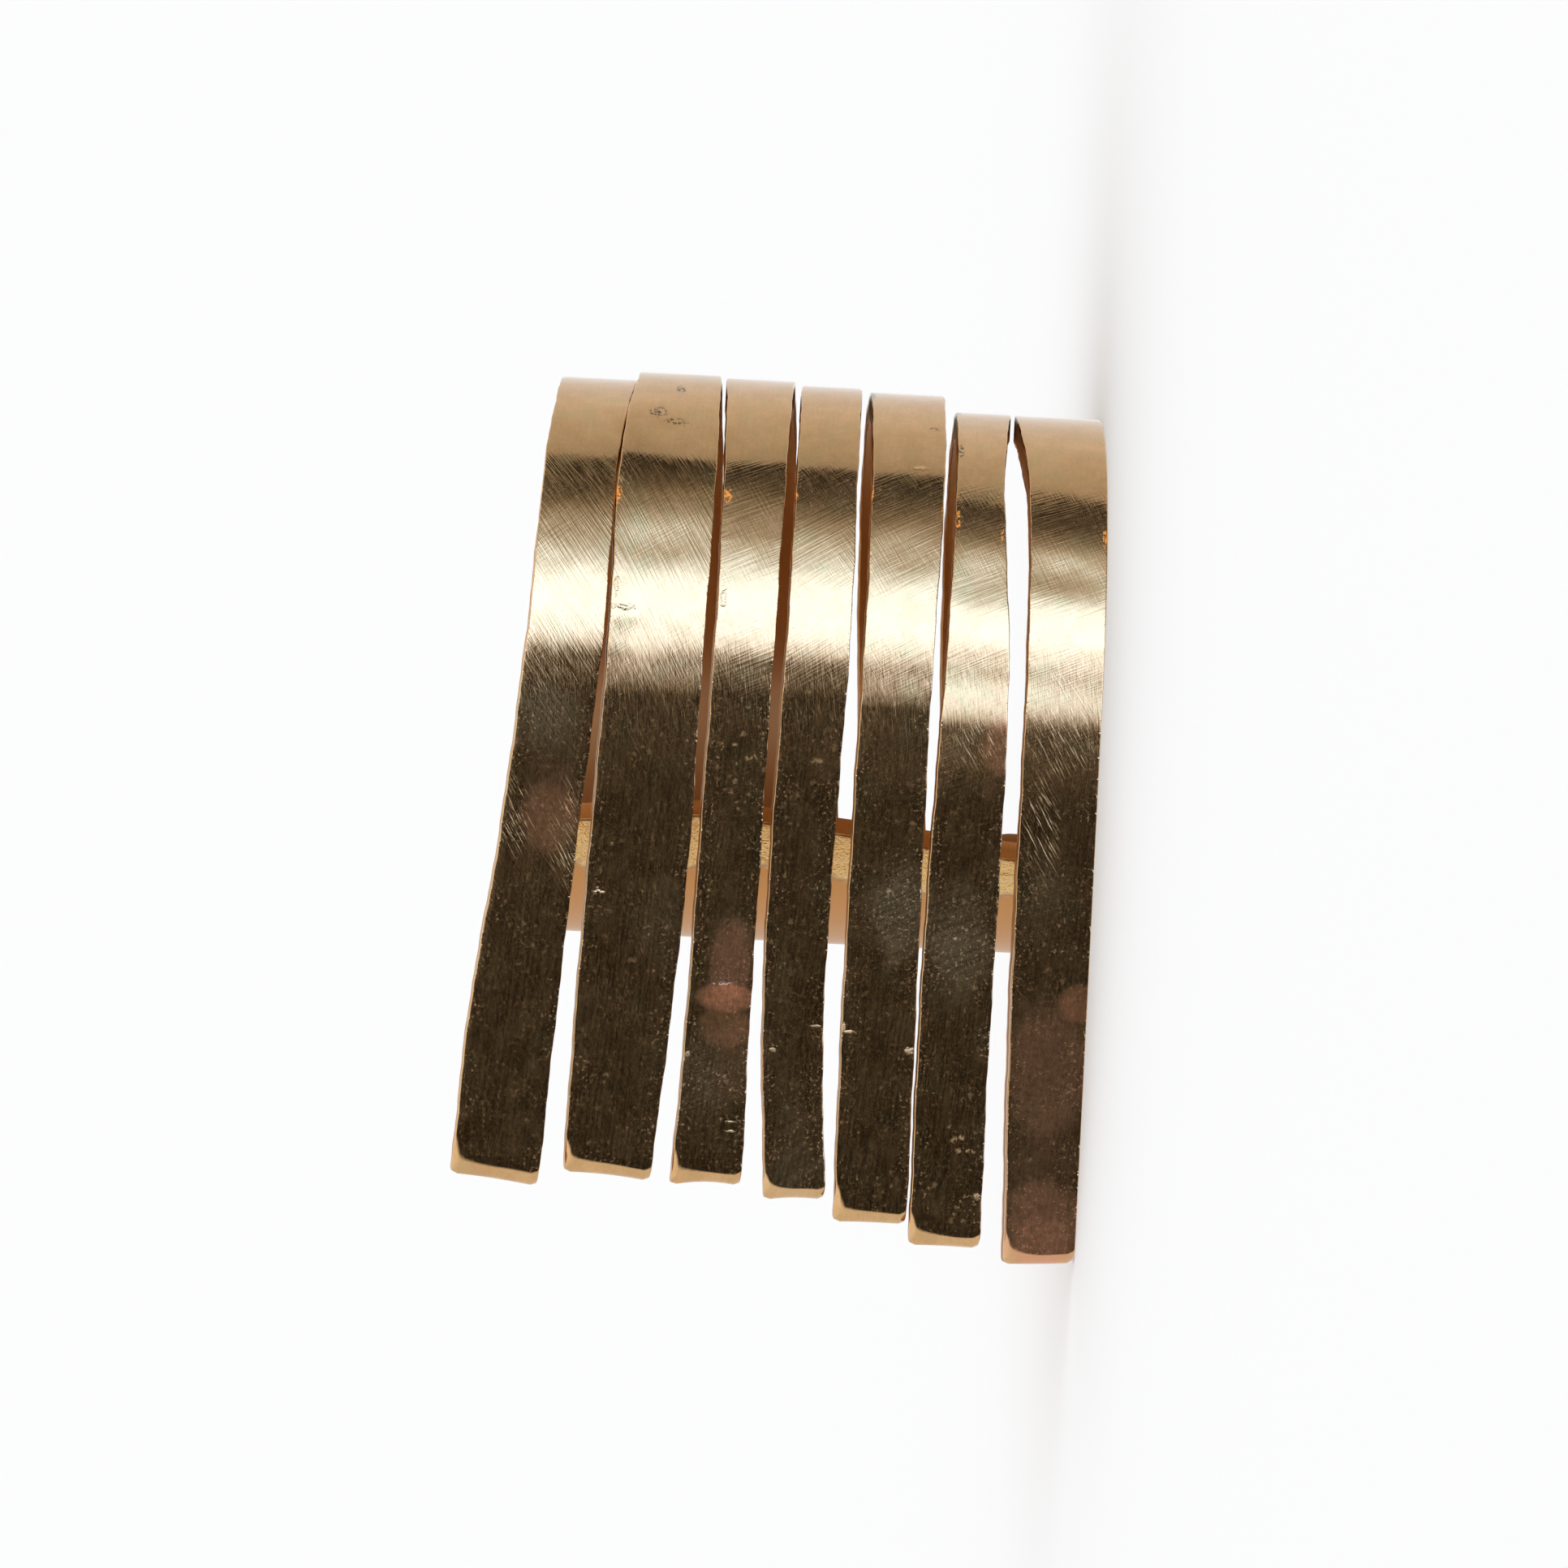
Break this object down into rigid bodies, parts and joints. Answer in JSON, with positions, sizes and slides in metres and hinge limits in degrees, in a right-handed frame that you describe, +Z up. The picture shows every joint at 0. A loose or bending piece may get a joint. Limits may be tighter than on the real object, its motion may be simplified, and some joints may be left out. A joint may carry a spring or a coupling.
{
  "type": "fringed open wrap ring",
  "caption": "Open finger ring of bent sheet metal: a plain band under the finger and a comb of flat strips that wrap over it and end in long free tails.",
  "frame": {"origin": "on the surface that the ring lies on, under the middle of its bounding box", "axes": "+Z up along the finger's axis, -X along the free tails, -Y the face of the strips"},
  "size_m": [0.0302, 0.0192, 0.0217],
  "materials": {
    "gold_tone_metal": "worn, finely scratched gold-tone brass with dark tarnish"
  },
  "bodies": {
    "root": {"fringe_ring": "gold_tone_metal"}
  },
  "joints": []
}
